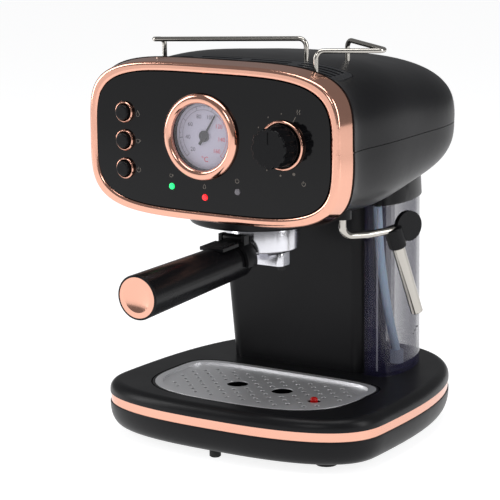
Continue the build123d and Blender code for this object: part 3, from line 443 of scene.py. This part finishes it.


# %% [markdown]
# The dial and the panel carry thin printed marks. Each line is a wire through a few
# points, converted to a mesh and pressed almost flat against the surface behind it. Real
# geometry is used instead of a texture because the marks then stay sharp at any distance.
# Angles run clockwise from straight up, as on a clock.

# %% Printed lines
def stroke(points, y, width_mm, closed=False):
    """A flat printed line through (x, z) points, on an upright face at depth y."""
    data = bpy.data.curves.new("stroke", "CURVE")
    data.dimensions = "3D"
    data.bevel_depth = width_mm / 2 * MM
    data.bevel_resolution = 1
    data.use_fill_caps = True
    line = data.splines.new("POLY")
    line.points.add(len(points) - 1)
    for point, (x, z) in zip(line.points, points):
        point.co = (x * MM, 0, z * MM, 1)
    line.use_cyclic_u = closed
    obj = bpy.data.objects.new("stroke", data)
    bpy.context.scene.collection.objects.link(obj)
    obj.location.y = (y - 0.03) * MM
    obj.scale.y = 0.12
    work_on(obj)
    bpy.ops.object.convert(target="MESH")
    bpy.ops.object.transform_apply(location=True, rotation=True, scale=True)
    return bpy.context.active_object


def clock_point(x, z, radius, angle):
    turn = math.radians(angle)
    return x + radius * math.sin(turn), z + radius * math.cos(turn)


def arc(x, z, radius, start, end, steps=24):
    return [clock_point(x, z, radius, start + (end - start) * i / steps) for i in range(steps + 1)]


def numeral(text, x, z, y, size_mm):
    """Raised characters that face the user."""
    place = (x * MM, (y - 0.02) * MM, z * MM)
    bpy.ops.object.text_add(location=place, rotation=(math.pi / 2, 0, 0))
    obj = bpy.context.active_object
    obj.data.body = text
    obj.data.size = size_mm * MM
    obj.data.align_x, obj.data.align_y = "CENTER", "CENTER"
    obj.data.extrude = 0.03 * MM
    obj.data.resolution_u = 3
    work_on(obj)
    bpy.ops.object.convert(target="MESH")
    bpy.ops.object.transform_apply(location=True, rotation=True, scale=True)
    return bpy.context.active_object


# %% [markdown]
# The gauge reads from 20 to 160 degrees. Its cool half is printed in grey and its hot half
# in red, so it takes two pieces, one for each ink. The scale is a double line with ticks
# between, long ones at the numbers.

# %% Dial print
grey_ink = satin_abs("grey_ink", "#3A3A44", 0.6)
red_ink = satin_abs("red_ink", "#C81E34", 0.6)
dial_x, _, dial_z = center_of("gauge_dial")
dial_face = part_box("gauge_dial")[0][1] / MM
scale_start, scale_end, first_value, last_value = -135, 135, 20, 160
hot_value = 110
outer_circle, inner_circle, short_tick, numeral_circle = 23.6, 20.4, 22.0, 15.6


def scale_angle(value):
    return scale_start + (scale_end - scale_start) * (value - first_value) / (last_value - first_value)


grey_marks, red_marks = [], []
hot_start = scale_angle(hot_value)
for radius, width_mm in ((outer_circle, 0.35), (inner_circle, 0.3)):
    cool_arc = arc(dial_x, dial_z, radius, scale_start, hot_start)
    hot_arc = arc(dial_x, dial_z, radius, hot_start, scale_end)
    grey_marks.append(stroke(cool_arc, dial_face, width_mm))
    red_marks.append(stroke(hot_arc, dial_face, width_mm))
for value in range(first_value, last_value + 1, 5):
    ink = grey_marks if value < hot_value else red_marks
    numbered = value % 20 == 0
    inner = inner_circle if numbered else short_tick
    ends = [clock_point(dial_x, dial_z, r, scale_angle(value)) for r in (inner, outer_circle)]
    ink.append(stroke(ends, dial_face, 0.45 if numbered else 0.28))
    if numbered:
        x, z = clock_point(dial_x, dial_z, numeral_circle, scale_angle(value))
        ink.append(numeral(str(value), x, z, dial_face, 4.6))
red_marks.append(numeral("°C", dial_x, dial_z - 18.2, dial_face, 6.0))
settle(join(grey_marks), "dial_print_grey", grey_ink, "machine")
settle(join(red_marks), "dial_print_red", red_ink, "machine")

# %% [markdown]
# Beside each button and above each lamp is a small dim pictogram, and round the steam
# knob is a row of dots that grow with the flow. They are drawn generically with the same
# printed lines: a drop, a cup, a power sign and a cloud of steam.

# %% Panel print
panel_ink = satin_abs("dim_panel_ink", "#6E6862", 0.5)
panel_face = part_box("control_panel")[0][1] / MM
line_mm = 0.55


def drop_icon(x, z, size):
    side = [(0.0, 1.0), (0.38, 0.35), (0.62, -0.15), (0.5, -0.62), (0.0, -0.85)]
    outline = side + [(-a, b) for a, b in side[-2:0:-1]]
    return [stroke([(x + a * size, z + b * size) for a, b in outline], panel_face, line_mm, True)]


def cup_icon(x, z, size):
    bowl = [(-0.8, 0.5), (0.5, 0.5), (0.4, -0.3), (0.15, -0.6), (-0.45, -0.6), (-0.7, -0.3)]
    ear = [(0.5, 0.35), (0.9, 0.3), (0.85, -0.1), (0.45, -0.15)]
    scaled = [[(x + a * size, z + b * size) for a, b in line] for line in (bowl, ear)]
    return [stroke(scaled[0], panel_face, line_mm, True), stroke(scaled[1], panel_face, line_mm)]


def power_icon(x, z, size):
    open_ring, bar = arc(x, z, 0.8 * size, 35, 325), [(x, z + 0.2 * size), (x, z + 1.0 * size)]
    return [stroke(line, panel_face, line_mm) for line in (open_ring, bar)]


def steam_icon(x, z, size):
    waves = []
    for shift in (-0.4, 0.4):
        sways = [shift + 0.18 * math.sin(t * 1.6) for t in range(7)]
        wave = [(x + sway * size, z + (t / 4 - 0.8) * size) for t, sway in enumerate(sways)]
        waves.append(stroke(wave, panel_face, line_mm))
    return waves


def dot_mark(x, z, radius):
    return [stroke(arc(x, z, radius * 0.5, 0, 330, 11), panel_face, radius, True)]


marks = []
button_x, _, _ = center_of("button_brew")
icon_x = button_x + 12.2
marks += drop_icon(icon_x, center_of("button_brew")[2] - 0.8, 2.6)
marks += cup_icon(icon_x, center_of("button_cups")[2] - 0.1, 2.6)
marks += power_icon(icon_x, center_of("button_power")[2] - 0.5, 2.3)
for led, icon in (("led_ready", cup_icon), ("led_heating", drop_icon), ("led_steam", power_icon)):
    led_x, _, led_z = center_of(led)
    marks += icon(led_x - 0.4, led_z + 8.4, 2.0)
knob_x, _, knob_z = center_of("knob_ring")
knob_dots = (  # from the knob's axis: across, up, and the dot's size
    (-21.3, 12.2, 0.55),
    (-12.6, 20.4, 0.6),
    (-0.8, 23.9, 0.6),
    (-14.0, -19.9, 0.6),
    (-1.8, -23.0, 0.9),
    (9.9, -21.0, 1.3),
)
for x, z, radius in knob_dots:
    marks += dot_mark(knob_x + x, knob_z + z, radius)
marks.append(stroke([(knob_x + 9.4, knob_z + 18.4), (knob_x + 11.6, knob_z + 22.2)], panel_face, 0.8))
marks += steam_icon(knob_x + 14.0, knob_z + 26.2, 2.4)
marks += power_icon(knob_x + 18.5, knob_z - 27.7, 2.0)
settle(join(marks), "panel_print", panel_ink, "machine")

# %% [markdown]
# Inside the clear tank a bluish silicone hose leads from the top at the front down to a
# weighted strainer on the floor. A curve with a round bevel makes the hose, because a soft
# hose has no corners. The strainer starts as a short cylinder whose side is inset and
# pushed in to leave ribs.

# %% Hose and strainer in the tank
blue_silicone, blue_shader = new_finish("blue_silicone", "#B9CCE4", 0.3, IOR=1.45)
bump(blue_silicone, blue_shader, grain(blue_silicone, 6.0), "Fac", 0.05, 0.3)
blue_shader.inputs["Subsurface Weight"].default_value = 0.2

hose_points = [
    (63.5, 70.5, 186.0),
    (64.0, 72.0, 155.0),
    (65.5, 80.0, 110.0),
    (67.0, 90.0, 76.0),
    (67.5, 96.0, 61.0),
]


def soft_tube(name, points, radius_mm):
    """A round tube along a smooth line through a few points."""
    data = bpy.data.curves.new(name, "CURVE")
    data.dimensions = "3D"
    data.bevel_depth = radius_mm * MM
    data.bevel_resolution = 6
    data.use_fill_caps = True
    line = data.splines.new("NURBS")
    line.points.add(len(points) - 1)
    for point, place in zip(line.points, points):
        point.co = (*(v * MM for v in place), 1)
    line.order_u = 3
    line.use_endpoint_u = True
    tube = bpy.data.objects.new(name, data)
    bpy.context.scene.collection.objects.link(tube)
    return tube


dip_hose = soft_tube("dip_hose", hose_points, 3.6)
dip_hose = settle(dip_hose, "tank_dip_hose", blue_silicone, "water_tank")
work_on(dip_hose)
bpy.ops.object.shade_smooth()

bpy.ops.object.select_all(action="DESELECT")
strainer_height, strainer_radius, strainer_low_z = 11.0, 5.6, 49.5
strainer_place = Vector((67.5, 97.0, strainer_low_z + strainer_height / 2)) * MM
size = {"radius": strainer_radius * MM, "depth": strainer_height * MM}
bpy.ops.mesh.primitive_cylinder_add(vertices=24, location=strainer_place, **size)
strainer = bpy.context.active_object
bpy.ops.object.mode_set(mode="EDIT")
bpy.ops.mesh.select_all(action="DESELECT")
shape = bmesh.from_edit_mesh(strainer.data)
for face in shape.faces:
    face.select = abs(face.normal.z) < 0.5
bmesh.update_edit_mesh(strainer.data)
bpy.ops.mesh.inset(thickness=0.35 * MM, depth=-0.5 * MM, use_individual=True)
bpy.ops.object.mode_set(mode="OBJECT")
milky_plastic = clear_plastic("milky_strainer", "#C9D3E6", 0.3, 0.5, 0.95)
settle(strainer, "tank_strainer", milky_plastic, "water_tank")

# %% [markdown]
# The tank's moulding has an upright rib on the inner face of its front wall, and a printed
# level mark low on its right side. The rib is a slim bar with bevelled corners in the same
# clear plastic, which catches a long highlight. The mark's dashes are small bars whose
# places come from a ray cast against the tank, so they sit on the curved wall.

# %% Tank rib and level marks
def slim_bar(size_mm, place_mm, bevel_mm):
    """A bar with bevelled corners, made at its size and place."""
    bpy.ops.object.select_all(action="DESELECT")
    bpy.ops.mesh.primitive_cube_add(size=1.0, location=[v * MM for v in place_mm])
    bar = bpy.context.active_object
    bar.scale = [v * MM for v in size_mm]
    bpy.ops.object.transform_apply(location=False, rotation=False, scale=True)
    bpy.ops.object.mode_set(mode="EDIT")
    bpy.ops.mesh.select_all(action="SELECT")
    bpy.ops.mesh.bevel(offset=bevel_mm * MM, segments=2, affect="EDGES")
    bpy.ops.object.mode_set(mode="OBJECT")
    return bar


rib_clear = clear_plastic("clear_rib", "#E8E8F4", 0.04, 0.25, 0.9)
rib = slim_bar((1.2, 1.4, 136.0), (66.5, 65.2, 116.5), 0.35)
settle(rib, "tank_front_rib", rib_clear, "water_tank")

level_ink = satin_abs("black_level_ink", "#101014", 0.5)
dashes = []
for y, z, length in ((104.0, 74.0, 1.6), (108.0, 76.0, 2.6), (113.0, 78.0, 4.2)):
    start, inwards = Vector((0.2, y * MM, z * MM)), Vector((-1, 0, 0))
    hit, spot, _, _ = nodes["water_tank"].ray_cast(start, inwards)
    surface_x = spot.x / MM if hit else 78.0
    dashes.append(slim_bar((0.25, length, 1.0), (surface_x + 0.05, y, z), 0.08))
settle(join(dashes), "tank_level_marks", level_ink, "water_tank")
